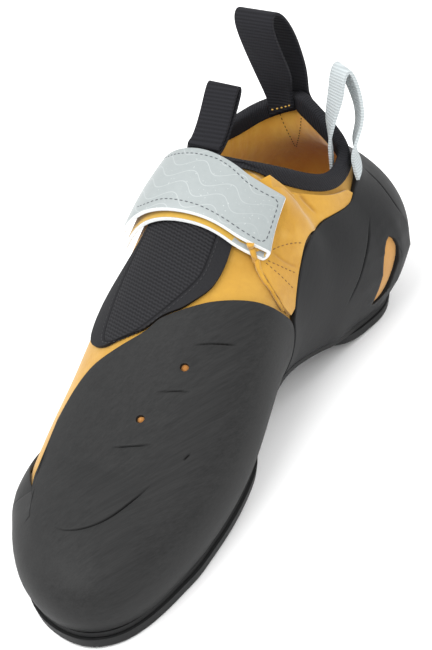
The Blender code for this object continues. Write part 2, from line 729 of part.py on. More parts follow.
LOOP_PATHS = {
    "heel_loop": ((4.2, -5.0), (2.9, -1.5), (2.7, 3.0), (4.8, 12.0), (6.6, 24.0), (5.6, 33.0), (2.6, 38.0),
                  (-0.6, 38.5), (-3.6, 35.0), (-4.8, 27.0), (-5.0, 14.0), (-4.7, 3.0), (-4.6, -4.0)),
    "side_loop": ((5.0, -7.0), (4.4, -4.5), (4.0, -1.5), (3.8, 3.0), (5.2, 9.0), (5.8, 15.0), (4.2, 22.5), (1.4, 29.5),
                  (-0.6, 31.0), (-2.4, 28.5), (-3.4, 22.5), (-5.4, 15.0), (-5.8, 9.0), (-5.2, 3.0), (-5.4, -4.0)),
    "tongue_tab": ((5.0, -0.6), (5.1, 1.6), (6.6, 5.5), (10.0, 10.5), (14.0, 15.0), (17.0, 18.5), (17.6, 20.6),
                   (15.8, 21.2), (12.4, 17.8), (8.0, 12.0), (4.8, 7.0), (3.2, 3.0), (3.0, -0.8)),
}
hanging_loop("heel_loop", -0.952, LOOP_PATHS["heel_loop"], HEEL_LOOP_WIDTH, 0, (-0.15, -0.22, 0.0),
             paint("heel_loop", (0.040, 0.040, 0.045), 0.9))
hanging_loop("side_loop", 0.862, LOOP_PATHS["side_loop"], SIDE_LOOP_WIDTH, -32, (-0.05, 0.28, 0.05),
             paint("side_loop", (0.55, 0.58, 0.58), 0.85))
hanging_loop("tongue_tab", -0.676, LOOP_PATHS["tongue_tab"], TAB_WIDTH, 0, (0.0, 0.0, 0.0),
             paint("tongue_tab", (0.040, 0.040, 0.045), 0.9), hug=False, aside=(-0.0050, 0.0, 0.0))

# strap, folded back on itself round the keeper
HALF_GIRTH = 0.105
STRAP_EDGES = np.array([
    (-0.62, 0.570, 0.668), (-0.32, 0.571, 0.676), (-0.17, 0.571, 0.669), (0.0, 0.571, 0.663), (0.11, 0.572, 0.656),
    (0.20, 0.571, 0.650), (0.28, 0.569, 0.653), (0.36, 0.574, 0.661), (0.46, 0.586, 0.673),
])
STRAP_END = 0.415
STRAP_SKEW = 0.16       # the folded end runs back at a slant
STRAP_SEAT = GAP + 0.0026 + STRAP_THICK / 2
STRAP_FOLD = 0.0016


def strap_path():
    path = [(q * HALF_GIRTH, STRAP_SEAT) for q in steps(-0.47, STRAP_END, 18)]
    for k in range(1, 6):
        turn = math.pi * k / 6
        along = STRAP_END * HALF_GIRTH + STRAP_FOLD * math.sin(turn)
        path.append((along, STRAP_SEAT + STRAP_FOLD * (1 - math.cos(turn))))
    path += [(q * HALF_GIRTH, STRAP_SEAT + 2 * STRAP_FOLD) for q in steps(STRAP_END, -0.41, 17)]
    return path


def on_last(w, x, h):
    q = x / HALF_GIRTH
    if q > 0:
        q *= 1 - STRAP_SKEW * w * q / STRAP_END
    front, back = edge(STRAP_EDGES, q)
    upper_layer = min(max((h - STRAP_SEAT) / (2 * STRAP_FOLD), 0.0), 1.0)
    front -= 0.010 * (1 - upper_layer)
    sunk = min(max((-q - 0.20) / 0.20, 0.0), 1.0)
    return place(math.copysign(mix(front, back, w), q), 1 - abs(q), h - 0.0011 * sunk)


strap_band = strip("strap", strap_path(), STRAP_THICK, steps(0.0, 1.0, 3), on_last,
                  paint("strap", (0.55, 0.58, 0.58), 0.7), 
                  [skin_tree(x) for x in (tongue, side_leather, binding, upper, heel_rubber)])

# leather keeper inside the fold
KEEPER_SEAT = 1000 * (STRAP_SEAT + STRAP_FOLD)
keeper_path = smooth_path(((-0.052, 2.75), (-0.036, 2.75), (-0.024, 3.9), (-0.014, KEEPER_SEAT),
                           (0.004, KEEPER_SEAT), (0.045, KEEPER_SEAT), (0.084, KEEPER_SEAT)), 3)
keeper_path = keeper_path * np.array((LENGTH, 0.001))


def beside(w, x, h):
    along = min(max(x / LENGTH / 0.085, 0.0), 1.0)
    q = (STRAP_END - 0.018 - w / HALF_GIRTH) * (1 - STRAP_SKEW * along)
    front, back = edge(STRAP_EDGES, q)
    return place(front + x / LENGTH, 1 - q, h)


KEEPER_PAINT = paint("strap_keeper", (0.80, 0.46, 0.07), 0.75)
strip("strap_keeper", keeper_path, 0.0012, steps(0.0, 0.006, 2), beside, KEEPER_PAINT)


def foot_edge(g, out):
    centre, way, foot, reach, top, base = rib(g)[:6]
    return np.array((centre[0] + way[0] * (foot + out), centre[1] + way[1] * (foot + out), base))


def slab(name, places, wide_top, wide_low, above, below, material, across=8, inset=lambda g: 0.0):
    """Layer under the foot, from the toe side to the heel side, between two heights."""
    points = []
    rows = []
    for top in (True, False):
        out = wide_top if top else wide_low
        level = above if top else below
        for g in places:
            left = foot_edge(-g, out - inset(g))
            right = foot_edge(g, out - inset(g))
            row = []
            for a in steps(0.0, 1.0, across):
                spot = mix(left, right, a)
                row.append(len(points))
                points.append(spot + np.array((0.0, 0.0, level(g) if callable(level) else level)))
            rows.append(row)
    count = len(places)
    faces = []
    for k in range(count - 1):
        upper_a, upper_b = rows[k], rows[k + 1]
        lower_a, lower_b = rows[k + count], rows[k + count + 1]
        for j in range(across):
            faces.append([upper_a[j], upper_a[j + 1], upper_b[j + 1], upper_b[j]])
            faces.append([lower_a[j], lower_b[j], lower_b[j + 1], lower_a[j + 1]])
        faces.append([upper_a[0], upper_b[0], lower_b[0], lower_a[0]])
        faces.append([upper_a[-1], lower_a[-1], lower_b[-1], upper_b[-1]])
    for k in (0, count - 1):
        for j in range(across):
            faces.append([rows[k][j], rows[k + count][j], rows[k + count][j + 1], rows[k][j + 1]])
    return body(name, points, clean(points, faces), material)


def clean(points, faces):
    """Drop the faces of a row that has closed to one point."""
    result = []
    for face in faces:
        loop = []
        for k in face:
            if all(np.linalg.norm(points[k] - points[m]) > 0.000012 for m in loop):
                loop.append(k)
        if len(loop) > 2:
            result.append(loop)
    return result


toe_places = steps(0.0, TOE_TURN, 11)[:-1]
heel_places = steps(HEEL_TURN, 1.0, 8)
mid_places = steps(TOE_TURN, HEEL_TURN, 18)[:-1]
all_places = toe_places + mid_places + heel_places
bottom = -GAP - RAND_THICK
slab("midsole", all_places, 0.0020, 0.0020, -GAP, bottom, paint("midsole", (0.028, 0.028, 0.029), 0.6), 2)
FRONT_END = 0.475
front_places = toe_places + steps(TOE_TURN, 0.39, 6)[:-1] + [0.39, 0.412, 0.432, 0.450, 0.463, 0.471, FRONT_END]


def front_base(g):
    """The forefoot sole thins out where the arch begins."""
    thin = float(np.interp(g, (FRONT_END - 0.06, FRONT_END), (0.0, 0.0018)))
    return bottom - GAP - SOLE_THICK + thin


def round_end(end, start, depth):
    """Inset that rounds off the end of a sole layer."""
    return lambda g: depth * (1 - math.sqrt(1 - min(max((g - start) / (end - start), 0.0), 1.0) ** 2))


slab("outsole_front", front_places, 0.0031, 0.0022, bottom - GAP, front_base,
     paint("outsole_front", (0.030, 0.030, 0.031), 0.6), 4, round_end(FRONT_END, 0.39, 0.020))
HEEL_FRONT = 0.70


def heel_base(g):
    thin = float(np.interp(g, (HEEL_FRONT, HEEL_FRONT + 0.06), (0.0018, 0.0)))
    return bottom - GAP - SOLE_THICK + thin


slab("outsole_heel", [HEEL_FRONT, 0.703, 0.71, 0.722, 0.74, 0.77] + steps(0.80, HEEL_TURN, 2)[:-1] + heel_places, 0.0026,
     0.0018, bottom - GAP, heel_base, paint("outsole_heel", (0.030, 0.030, 0.031), 0.6), 4,
     round_end(HEEL_FRONT, 0.77, 0.018))
slab("insole", all_places, -LEATHER - 0.0010, -LEATHER - 0.0010, INSOLE_THICK, 0.0,
     paint("insole", (0.62, 0.36, 0.10), 0.9), 2)
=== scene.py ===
import math
import time
import bpy
import numpy as np
from mathutils import Vector, Matrix
from mathutils.bvhtree import BVHTree
from mathutils.kdtree import KDTree


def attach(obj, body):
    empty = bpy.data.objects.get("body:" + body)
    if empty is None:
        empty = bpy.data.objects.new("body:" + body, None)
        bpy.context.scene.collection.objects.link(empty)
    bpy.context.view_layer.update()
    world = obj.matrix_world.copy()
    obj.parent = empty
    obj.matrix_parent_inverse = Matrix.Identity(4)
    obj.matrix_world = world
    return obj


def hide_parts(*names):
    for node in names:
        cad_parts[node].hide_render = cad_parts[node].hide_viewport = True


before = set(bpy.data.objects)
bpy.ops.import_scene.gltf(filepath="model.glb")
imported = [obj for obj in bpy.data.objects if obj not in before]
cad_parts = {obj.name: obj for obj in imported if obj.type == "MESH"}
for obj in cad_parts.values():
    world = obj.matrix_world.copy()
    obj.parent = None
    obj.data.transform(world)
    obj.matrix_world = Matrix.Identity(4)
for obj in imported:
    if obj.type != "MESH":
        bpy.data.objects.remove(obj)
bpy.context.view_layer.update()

began = time.time()

# camera first: pixels of the picture find their places on the shoe through it
photoView = {
    "turn": 36.0, "rise": 34.0, "roll": -9.5, "away": 0.8,
    "focal": 2192.0, "aim": (0.0, 0.0, 0.040), "shift": (-21.0, 12.0),
    "middle": (216.0, 325.0), "tall": 650,   # of the picture, in pixels
}
turn, rise, roll = [math.radians(photoView[k]) for k in ("turn", "rise", "roll")]
back = Vector((math.sin(turn) * math.cos(rise), -math.cos(turn) * math.cos(rise), math.sin(rise)))
level = Vector((math.cos(turn), math.sin(turn), 0.0))
upright = back.cross(level)
right = level * math.cos(roll) + upright * math.sin(roll)
upward = upright * math.cos(roll) - level * math.sin(roll)
perPixel = photoView["away"] / photoView["focal"]
shiftX, shiftY = photoView["shift"]
aim = Vector(photoView["aim"]) - right * shiftX * perPixel + upward * shiftY * perPixel
eye = aim + back * photoView["away"]
cameraData = bpy.data.cameras.new("photoCamera")
cameraData.sensor_width = 36.0
cameraData.lens = photoView["focal"] / photoView["tall"] * cameraData.sensor_width
cameraData.clip_start = 0.01
camera = bpy.data.objects.new("photoCamera", cameraData)
bpy.context.scene.collection.objects.link(camera)
camera.matrix_world = Matrix((right, upward, back)).transposed().to_4x4()
camera.location = eye
bpy.context.scene.camera = camera
print("camera")


class Wire:
    def __init__(self, tree, socket):
        self.tree = tree
        self.socket = socket

    def math(self, operation, *others):
        node = self.tree.nodes.new("ShaderNodeMath")
        node.operation = operation
        for slot, value in zip(node.inputs, (self,) + others):
            feed(self.tree, slot, value)
        return Wire(self.tree, node.outputs[0])

    def __add__(self, other): return self.math("ADD", other)
    def __radd__(self, other): return self.math("ADD", other)
    def __sub__(self, other): return self.math("SUBTRACT", other)
    def __rsub__(self, other): return (self * -1.0).math("ADD", other)
    def __mul__(self, other): return self.math("MULTIPLY", other)
    def __rmul__(self, other): return self.math("MULTIPLY", other)
    def __pow__(self, other): return self.math("POWER", other)
    def sine(self): return self.math("SINE")
    def clamp(self): return self.math("MAXIMUM", 0.0).math("MINIMUM", 1.0)
    def over(self, low, high):   # 0 below low, 1 above high
        return ((self - low) * (1.0 / (high - low))).clamp()


def feed(tree, slot, value):
    if isinstance(value, Wire):
        tree.links.new(value.socket, slot)
    elif value is not None:
        slot.default_value = value


class Finish:
    def __init__(self, name, colour, rough, **fixed):
        self.material = bpy.data.materials.new(name)
        self.material.use_nodes = True
        self.tree = self.material.node_tree
        self.shader = self.tree.nodes["Principled BSDF"]
        self.shader.inputs["Base Color"].default_value = (*colour, 1.0)
        self.shader.inputs["Roughness"].default_value = rough
        for label, value in fixed.items():
            self.shader.inputs[label.replace("_", " ")].default_value = value

    def make(self, kind, settings=None, output=0, **sockets):
        node = self.tree.nodes.new("ShaderNode" + kind)
        for name, value in (settings or {}).items():
            setattr(node, name, value)
        for label, value in sockets.items():
            feed(self.tree, node.inputs[label.replace("_", " ")], value)
        return Wire(self.tree, node.outputs[output])

    def place(self):
        return self.make("TexCoord", output="Object")

    def stretched(self, scale, vector=None):
        return self.make("Mapping", Vector=vector or self.place(), Scale=scale)

    def noise(self, scale, detail=3.0, vector=None, rough=0.55):
        vector = vector or self.place()
        return self.make("TexNoise", Vector=vector, Scale=scale, Detail=detail, Roughness=rough)

    def reading(self, name):
        return self.make("Attribute", {"attribute_name": name}, output="Fac")

    def axes(self):
        node = self.tree.nodes.new("ShaderNodeSeparateXYZ")
        self.tree.links.new(self.place().socket, node.inputs[0])
        return [Wire(self.tree, out) for out in node.outputs]

    def blend(self, factor, first, second):
        node = self.tree.nodes.new("ShaderNodeMix")
        node.data_type = "RGBA"
        node.clamp_factor = True
        feed(self.tree, node.inputs[0], factor)
        for slot, value in ((node.inputs[6], first), (node.inputs[7], second)):
            feed(self.tree, slot, (*value, 1.0) if isinstance(value, tuple) and len(value) == 3 else value)
        return Wire(self.tree, node.outputs[2])

    def colour(self, value):
        feed(self.tree, self.shader.inputs["Base Color"], value)

    def roughness(self, value):
        feed(self.tree, self.shader.inputs["Roughness"], value)

    def relief(self, height, depth, strength=1.0):
        bump = self.make("Bump", Height=height, Distance=depth, Strength=strength)
        feed(self.tree, self.shader.inputs["Normal"], bump)


def onlySelect(piece):
    bpy.ops.object.select_all(action="DESELECT")
    piece.select_set(True)
    bpy.context.view_layer.objects.active = piece


def applyAll(piece):
    onlySelect(piece)
    for step in list(piece.modifiers):
        bpy.ops.object.modifier_apply(modifier=step.name)


def dress(node, name, levels=2, lip=0.0, sharp=48, keep=None):   # smooth copy of one CAD node
    # lip is the width of its rounded edges, sharp the angle from which an edge stays a rim
    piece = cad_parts[node].copy()
    piece.data = piece.data.copy()
    piece.name = piece.data.name = name
    piece.parent = None
    for key in list(piece.keys()):
        del piece[key]
    bpy.context.scene.collection.objects.link(piece)
    onlySelect(piece)
    bpy.ops.object.mode_set(mode="EDIT")
    bpy.ops.mesh.select_all(action="SELECT")
    bpy.ops.mesh.remove_doubles(threshold=0.00002)
    bpy.ops.mesh.tris_convert_to_quads(face_threshold=math.radians(50), shape_threshold=math.radians(60))
    bpy.ops.mesh.select_mode(type="EDGE")
    bpy.ops.mesh.select_all(action="DESELECT")
    bpy.ops.mesh.edges_select_sharp(sharpness=math.radians(sharp))
    bpy.ops.transform.edge_crease(value=1.0)   # rims keep their place while the faces round
    bpy.ops.object.mode_set(mode="OBJECT")
    if keep:   # round a cut-out (place, reach) the shape stays as it is
        spots = piece.data.vertices
        for edge in piece.data.edges:
            first, second = [spots[k].co for k in edge.vertices]
            edge.select = (first + second - keep[0] * 2).length < keep[1] * 2
        bpy.ops.object.mode_set(mode="EDIT")
        bpy.ops.transform.edge_crease(value=1.0)
        bpy.ops.object.mode_set(mode="OBJECT")
    piece.data.materials.clear()
    if levels:
        step = piece.modifiers.new("smooth", "SUBSURF")
        step.levels = step.render_levels = levels
        applyAll(piece)
    if lip:
        step = piece.modifiers.new("lip", "BEVEL")
        step.width = lip
        step.segments = 2
        step.limit_method = "ANGLE"
        step.angle_limit = math.radians(sharp)
        applyAll(piece)
    onlySelect(piece)
    bpy.ops.object.shade_smooth()
    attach(piece, "root")
    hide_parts(node)
    return piece


def skin(piece):   # search tree of a piece's mesh
    places = [v.co.copy() for v in piece.data.vertices]
    return BVHTree.FromPolygons(places, [list(f.vertices) for f in piece.data.polygons])


def throughPixel(x, y):
    middleX, middleY = photoView["middle"]
    return (right * (x - middleX) - upward * (y - middleY) - back * photoView["focal"]).normalized()


def touch(pixel, tree):   # place and facing where the camera sees a surface at a pixel of the picture
    spot, facing, number, far = tree.ray_cast(eye, throughPixel(*pixel), 2.0)
    return (spot, facing if facing.dot(back) > 0 else -facing) if spot else None


def toPixel(places):   # pixels of the picture for many places at once
    away = np.asarray(places, float) - np.array(eye)
    deep = -(away @ np.array(back))
    across = photoView["middle"][0] + photoView["focal"] * (away @ np.array(right)) / deep
    down = photoView["middle"][1] - photoView["focal"] * (away @ np.array(upward)) / deep
    return np.stack((across, down), 1)


def insideBy(dots, corners):   # how far each dot lies inside a closed outline, below 0 outside it
    ring = np.array(corners, float)
    near = np.full(len(dots), 1e9)
    odd = np.zeros(len(dots), bool)
    for a, b in zip(ring, np.roll(ring, -1, 0)):
        t = np.clip(((dots - a) @ (b - a)) / max(1e-9, (b - a) @ (b - a)), 0, 1)
        near = np.minimum(near, np.linalg.norm(dots - a - t[:, None] * (b - a), axis=1))
        spans = (dots[:, 1] > a[1]) != (dots[:, 1] > b[1])
        climb = b[1] - a[1] if abs(b[1] - a[1]) > 1e-9 else 1e-9
        odd ^= spans & (dots[:, 0] < (b[0] - a[0]) * (dots[:, 1] - a[1]) / climb + a[0])
    return np.where(odd, near, -near)


cordShape = {"step": 0.0012, "lift": 0.25, "taper": 0.45}   # lift and taper are shares of the radius


def cord(name, line, radius, finish):   # round cord along a line of (place, facing)
    bpy.ops.object.select_all(action="DESELECT")
    bpy.ops.curve.primitive_nurbs_path_add()
    path = bpy.context.active_object
    path.data.splines.clear()
    spline = path.data.splines.new("POLY")
    spots = evenly(line, cordShape["step"])
    spline.points.add(len(spots) - 1)
    for k, (point, (spot, facing)) in enumerate(zip(spline.points, spots)):
        share = k / (len(spots) - 1)
        point.co = (*(spot + facing * radius * cordShape["lift"]), 1.0)
        point.radius = 1.0 - cordShape["taper"] * share
    path.data.bevel_depth = radius
    path.data.bevel_resolution = 3
    path.data.use_fill_caps = True
    bpy.ops.object.convert(target="MESH")
    piece = bpy.context.active_object
    piece.name = piece.data.name = name
    piece.data.materials.clear()
    piece.data.materials.append(finish.material)
    bpy.ops.object.shade_smooth()
    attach(piece, "root")
    return piece


def smoothLine(corners, each=1.0):   # even points on a smooth curve through the corners
    line = [Vector(c) for c in corners]
    ends = [line[0] * 2 - line[1]] + line + [line[-1] * 2 - line[-2]]
    path = []
    for a, b, c, d in zip(ends, ends[1:], ends[2:], ends[3:]):
        count = max(2, int((c - b).length / each * 2))
        for k in range(count):
            t = k / count
            bend, twist = 2 * a - 5 * b + 4 * c - d, 3 * b - a - 3 * c + d
            path.append(0.5 * (2 * b + (c - a) * t + bend * t * t + twist * t ** 3))
    return path + [line[-1]]


def traced(pixels, tree, reach=0.012):   # line of the picture laid on a surface
    found = []
    for p in smoothLine(pixels):
        hit = touch(p, tree)
        if hit and (not found or (hit[0] - found[-1][0]).length < reach):
            found.append(hit)
    return found


def evenly(line, gap):   # places a fixed distance apart along a line of (place, facing)
    result, left = [line[0]], gap
    for (a, na), (b, nb) in zip(line, line[1:]):
        step = (b - a).length
        while step > 0 and left <= step:
            t = left / step
            result.append((a.lerp(b, t), na.lerp(nb, t).normalized()))
            left += gap
        left -= step
    return result


def nearTree(line):   # search tree of close places along a line, and their number
    points = [p for p, n in evenly(line, 0.0003)] if len(line) > 1 else [line[0][0]]
    tree = KDTree(len(points))
    for k, p in enumerate(points):
        tree.insert(p, k)
    tree.balance()
    return tree, len(points)


def refine(piece, lines, reach, cuts=2):   # finer faces only where a line will be pressed in
    trees = [nearTree(line)[0] for line in lines if line]
    onlySelect(piece)
    bpy.ops.object.mode_set(mode="EDIT")
    bpy.ops.mesh.select_all(action="DESELECT")
    bpy.ops.object.mode_set(mode="OBJECT")
    for face in piece.data.polygons:
        face.select = any(tree.find(face.center)[2] < reach for tree in trees)
    bpy.ops.object.mode_set(mode="EDIT")
    bpy.ops.mesh.select_mode(type="FACE")
    bpy.ops.mesh.subdivide(number_cuts=cuts)
    bpy.ops.object.mode_set(mode="OBJECT")
    bpy.ops.object.shade_smooth()


def field(piece, name):   # value at each vertex that the finishes read by its name
    return piece.data.attributes.get(name) or piece.data.attributes.new(name, "FLOAT", "POINT")


def verts(piece, what="co"):
    data = np.empty(len(piece.data.vertices) * 3, np.float32)
    piece.data.vertices.foreach_get(what, data)
    return data.reshape(-1, 3)


def closeTo(places, line, reach):   # numbers of the places that lie in a box round the line
    ends = np.array([tuple(p) for p, n in line])
    return np.nonzero(np.all((places > ends.min(0) - reach) & (places < ends.max(0) + reach), axis=1))[0]


def press(piece, line, width, depth, mark="creaseShade", share=1.0, fade=True):
    # depth above 0 sinks the line and below 0 raises it; the mark colours it, and the finishes read it as painted
    # shade in the groove
    if not line:
        return
    tree, count = nearTree(line)
    marks = field(piece, mark)
    places, facings = verts(piece), verts(piece, "normal")
    values = np.empty(len(places), np.float32)
    marks.data.foreach_get("value", values)
    reach = 2.2 * width   # beyond it the groove has faded out
    for k in closeTo(places, line, reach):
        spot, number, far = tree.find(places[k])
        if far > reach:
            continue
        taper = min(1.0, 4.0 * (number + 1) / count, 4.0 * (count - number) / count) if fade else 1.0
        strength = math.exp(-(far / width * 1.5) ** 2) * taper
        places[k] -= facings[k] * depth * strength
        values[k] = max(values[k], strength * share)
    piece.data.vertices.foreach_set("co", places.ravel())
    marks.data.foreach_set("value", values)
    piece.data.update()


def paintNear(piece, line, width, mark, share=1.0):   # mark that fades from the line to its width
    tree = nearTree(line)[0]
    marks = field(piece, mark)
    places = verts(piece)
    for k in closeTo(places, line, width):
        near = max(0.0, 1.0 - tree.find(places[k])[2] / width)
        marks.data[k].value = max(marks.data[k].value, min(1.0, 1.6 * near) * share)


def sew(name, lines, thread, finish):   # one stitch modelled, then copied along the lines
    bpy.ops.object.select_all(action="DESELECT")
    bpy.ops.mesh.primitive_uv_sphere_add(segments=8, ring_count=6, radius=0.5)
    model = bpy.context.active_object
    made = []
    for line in lines:
        if len(line) < 2:
            continue
        spots = evenly(line, thread["pitch"])
        for (a, na), (b, nb) in zip(spots, spots[1:]):
            along = (b - a).normalized()
            across = along.cross(na).normalized()
            up = across.cross(along)
            flat = up * thread["thick"] * 0.8
            sides = (along * thread["long"], across * thread["thick"], flat)
            turn = Matrix(sides).transposed().to_4x4()
            turn.translation = (a + b) / 2 + na * thread["lift"]
            one = model.copy()
            one.data = model.data.copy()
            one.data.transform(turn)
            bpy.context.scene.collection.objects.link(one)
            made.append(one)
    bpy.data.objects.remove(model)
    bpy.ops.object.select_all(action="DESELECT")
    for one in made:
        one.select_set(True)
    bpy.context.view_layer.objects.active = made[0]
    bpy.ops.object.join()
    seam = bpy.context.active_object
    seam.name = seam.data.name = name
    seam.data.materials.clear()
    seam.data.materials.append(finish.material)
    bpy.ops.object.shade_smooth()
    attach(seam, "root")
    return seam


# floor and light
room = {
    "floor": (0.93, 0.93, 0.93), "floorShades": ((0.925, 0.925, 0.925), (0.94, 0.94, 0.94)),
    "sky": 0.84, "exposure": 0.3,
    "lamps": {   # place, size and power
        "softboxLeft": ((-0.75, -0.55, 1.0), 0.9, 6.5), "softboxBack": ((0.35, 0.9, 1.0), 0.8, 4.0),
        "softboxRight": ((0.9, -0.5, 0.8), 0.7, 3.0), "softboxFront": ((-0.05, -0.80, 1.15), 0.8, 9.0),
    },
}
bpy.ops.mesh.primitive_plane_add(size=6.0, location=(0.0, 0.0, -0.0004))
floor = bpy.context.active_object
floor.name = "paleFloor"
paleFinish = Finish("paleFloor", room["floor"], 0.9)
paleFinish.colour(paleFinish.blend(paleFinish.noise(1.2), *room["floorShades"]))
floor.data.materials.append(paleFinish.material)
world = bpy.data.worlds.new("paleRoom")
bpy.context.scene.world = world
world.use_nodes = True
world.node_tree.nodes["Background"].inputs["Color"].default_value = (1.0, 1.0, 1.0, 1.0)
world.node_tree.nodes["Background"].inputs["Strength"].default_value = room["sky"]
for name, (where, size, power) in room["lamps"].items():
    lampData = bpy.data.lights.new(name, "AREA")
    lampData.shape = "SQUARE"
    lampData.size = size
    lampData.energy = power
    lamp = bpy.data.objects.new(name, lampData)
    bpy.context.scene.collection.objects.link(lamp)
    lamp.location = where
    lamp.rotation_euler = (Vector((0.0, 0.0, 0.04)) - Vector(where)).to_track_quat("-Z", "Y").to_euler()
bpy.context.scene.view_settings.view_transform = "Standard"
bpy.context.scene.view_settings.exposure = room["exposure"]
print(round(time.time() - began, 1), "floor and light")


# finishes
def rubberFinish(name, turned, dark, light):
    # satin rubber, brushed along the turned Y axis, its pressed grooves darkened as painted shade
    skinOf = Finish(name, dark, 0.5, Specular_IOR_Level=0.22)
    brushed = skinOf.make("Mapping", Vector=skinOf.place(), Rotation=turned)
    streaks = skinOf.noise(1.0, 6.0, skinOf.stretched((620.0, 34.0, 620.0), brushed), 0.7)
    cloud = skinOf.noise(26.0, 3.0)
    fine = skinOf.noise(1.0, 3.0, skinOf.stretched((2200.0, 60.0, 2200.0), brushed), 0.6)
    tone = (streaks - 0.5) * 2.0 + (fine - 0.5) * 1.3 + cloud * 0.55 + 0.22
    groove = skinOf.reading("creaseShade")
    shade = skinOf.blend(tone.clamp(), dark, light)
    cutEdge = (skinOf.reading("rim") ** 3.0 * (cloud + 0.4)).clamp()
    shade = skinOf.blend(cutEdge, shade, (0.30, 0.28, 0.24))
    # painted shade: pressed grooves darkened nearly to black
    skinOf.colour(skinOf.blend((groove * 1.3).clamp(), shade, (0.0012, 0.0012, 0.0012)))
    skinOf.roughness(0.44 + streaks * 0.22 + cloud * 0.10 + groove * 0.4)
    skinOf.relief(streaks * 1.0 + skinOf.noise(700.0) * 0.3, 0.00010, 0.55)
    return skinOf


def leatherFinish(name, deep, bright, pale):   # napped suede, with painted shade in its folds and round the vents
    skinOf = Finish(name, bright, 0.85, Sheen_Weight=0.25, Sheen_Roughness=0.5)
    nap = skinOf.noise(420.0, 6.0)
    patch = skinOf.noise(42.0, 4.0)
    tone = skinOf.blend((patch * 1.7 - 0.35 + (nap - 0.5) * 0.7).clamp(), deep, bright)
    tone = skinOf.blend((skinOf.noise(70.0, 2.0).over(0.56, 0.72)) * 0.55, tone, pale)
    # painted shade: darker brown in pressed folds
    tone = skinOf.blend(skinOf.reading("creaseShade") * 0.65, tone, (0.17, 0.06, 0.008))
    # painted shade: darker suede round the vents, where it lies in shade
    tone = skinOf.blend(skinOf.reading("deep"), tone, (0.28, 0.10, 0.018))
    skinOf.colour(tone)
    skinOf.roughness(0.78 + nap * 0.2)
    skinOf.relief(nap * 0.7 + patch * 0.5 + skinOf.noise(1500.0) * 0.3, 0.00035, 0.6)
    return skinOf


def webbingFinish(name, dark, light, pitch, rough=0.75):   # woven tape with ribs across it
    weave = Finish(name, dark, rough, Specular_IOR_Level=0.2)
    x, y, z = weave.axes()
    ribs = ((z * 1.0 + y * 0.25) * (2 * math.pi / pitch)).sine() * 0.5 + 0.5
    yarn = ((x + y) * (2 * math.pi / (pitch * 0.55))).sine() * 0.5 + 0.5
    fuzz = weave.noise(1400.0, 3.0)
    weave.colour(weave.blend((ribs * 0.55 + yarn * 0.2 + fuzz * 0.3).clamp(), dark, light))
    weave.roughness(rough + fuzz * 0.15)
    weave.relief(ribs * 0.8 + yarn * 0.25 + fuzz * 0.35, 0.00022, 0.8)
    return weave


def bindingFinish():   # knitted tape round the collar, its ribs across the rim
    weave = Finish("collarKnit", (0.02, 0.02, 0.024), 0.8, Specular_IOR_Level=0.2)
    x, y, z = weave.axes()
    around = (y - 0.068).math("ARCTAN2", x + 0.002) * 0.031   # along the rim, in metres
    ribs = ((around + z * 0.5) * (2 * math.pi / 0.00105)).sine() * 0.5 + 0.5
    cross = ((z - around * 0.2) * (2 * math.pi / 0.0008)).sine() * 0.5 + 0.5
    fuzz = weave.noise(1500.0, 3.0)
    tone = (ribs * 0.5 + cross * 0.15 + fuzz * 0.4).clamp()
    weave.colour(weave.blend(tone, (0.0045, 0.0045, 0.006), (0.019, 0.019, 0.0225)))
    weave.relief(ribs * 0.8 + cross * 0.3 + fuzz * 0.4, 0.00022, 0.8)
    return weave


def meshFinish():   # ribbed mesh of the tongue: fine rows across, with a plain band round it and painted shade in its pressed line
    weave = Finish("ribbedMesh", (0.02, 0.02, 0.025), 0.75, Specular_IOR_Level=0.2)
    x, y, z = weave.axes()
    row = x * 0.25 + y * 0.75 + z * 0.56
    column = x * 0.98 + y * 0.17 + z * 0.12
    wander = (column * (2 * math.pi / 0.0021)).sine() * 0.5
    ribs = (row * (2 * math.pi / 0.00125) + wander).sine() * 0.5 + 0.5
    cells = (column * (2 * math.pi / 0.00125)).sine() * 0.5 + 0.5
    plain = weave.reading("band")
    fuzz = weave.noise(1300.0, 3.0)
    holes = (ribs * 0.75 + cells * 0.25) * (1.0 - plain) + fuzz * plain * 0.8
    tone = weave.blend(holes.clamp(), (0.0035, 0.0035, 0.0045), (0.019, 0.019, 0.0215))
    # painted shade: the pressed line darkened
    weave.colour(weave.blend(weave.reading("creaseShade") * 0.8, tone, (0.005, 0.005, 0.006)))
    weave.roughness(0.65 + fuzz * 0.2)
    weave.relief(holes * (1.0 - plain * 0.8) + fuzz * 0.35, 0.00030, 0.8)
    return weave


def strapFinish():   # smooth coated face with a faint generic line motif near its free end
    face = Finish("strapFace", (0.55, 0.60, 0.61), 0.42)
    x, y, z = face.axes()
    grain = face.noise(520.0, 4.0)
    speck = face.noise(1100.0, 1.0).over(0.70, 0.76)
    along = x * 0.86 - y * 0.18 - z * 0.4
    across = x * 0.1 + y * 0.82 + z * 0.5
    wave = ((across * 620.0) + (along * 420.0).sine() * 1.3).sine().math("ABSOLUTE")
    motif = (1.0 - wave.over(0.0, 0.14)) * (1.0 - (along + 0.022).over(-0.014, 0.014)) * 0.5
    tone = face.blend((grain * 0.8 + 0.1).clamp(), (0.242, 0.268, 0.268), (0.286, 0.311, 0.311))
    tone = face.blend((motif + speck * 0.5).clamp(), tone, (0.46, 0.485, 0.49))
    # painted shade in pressed creases; none is pressed into the strap
    face.colour(face.blend(face.reading("creaseShade") * 0.35, tone, (0.15, 0.17, 0.175)))
    face.roughness(0.36 + grain * 0.14)
    face.relief(grain + face.noise(90.0) * 0.6, 0.00012, 0.4)
    return face


def plainFinish(name, dark, light, rough, grain=600.0, depth=0.0002, **fixed):
    skinOf = Finish(name, dark, rough, **fixed)
    fuzz = skinOf.noise(grain, 5.0)
    soft = skinOf.noise(grain / 9, 3.0)
    skinOf.colour(skinOf.blend((fuzz * 0.7 + soft * 0.7 - 0.2).clamp(), dark, light))
    skinOf.roughness(rough + (fuzz - 0.5) * 0.2)
    skinOf.relief(fuzz * 0.7 + soft * 0.4, depth, 0.6)
    return skinOf


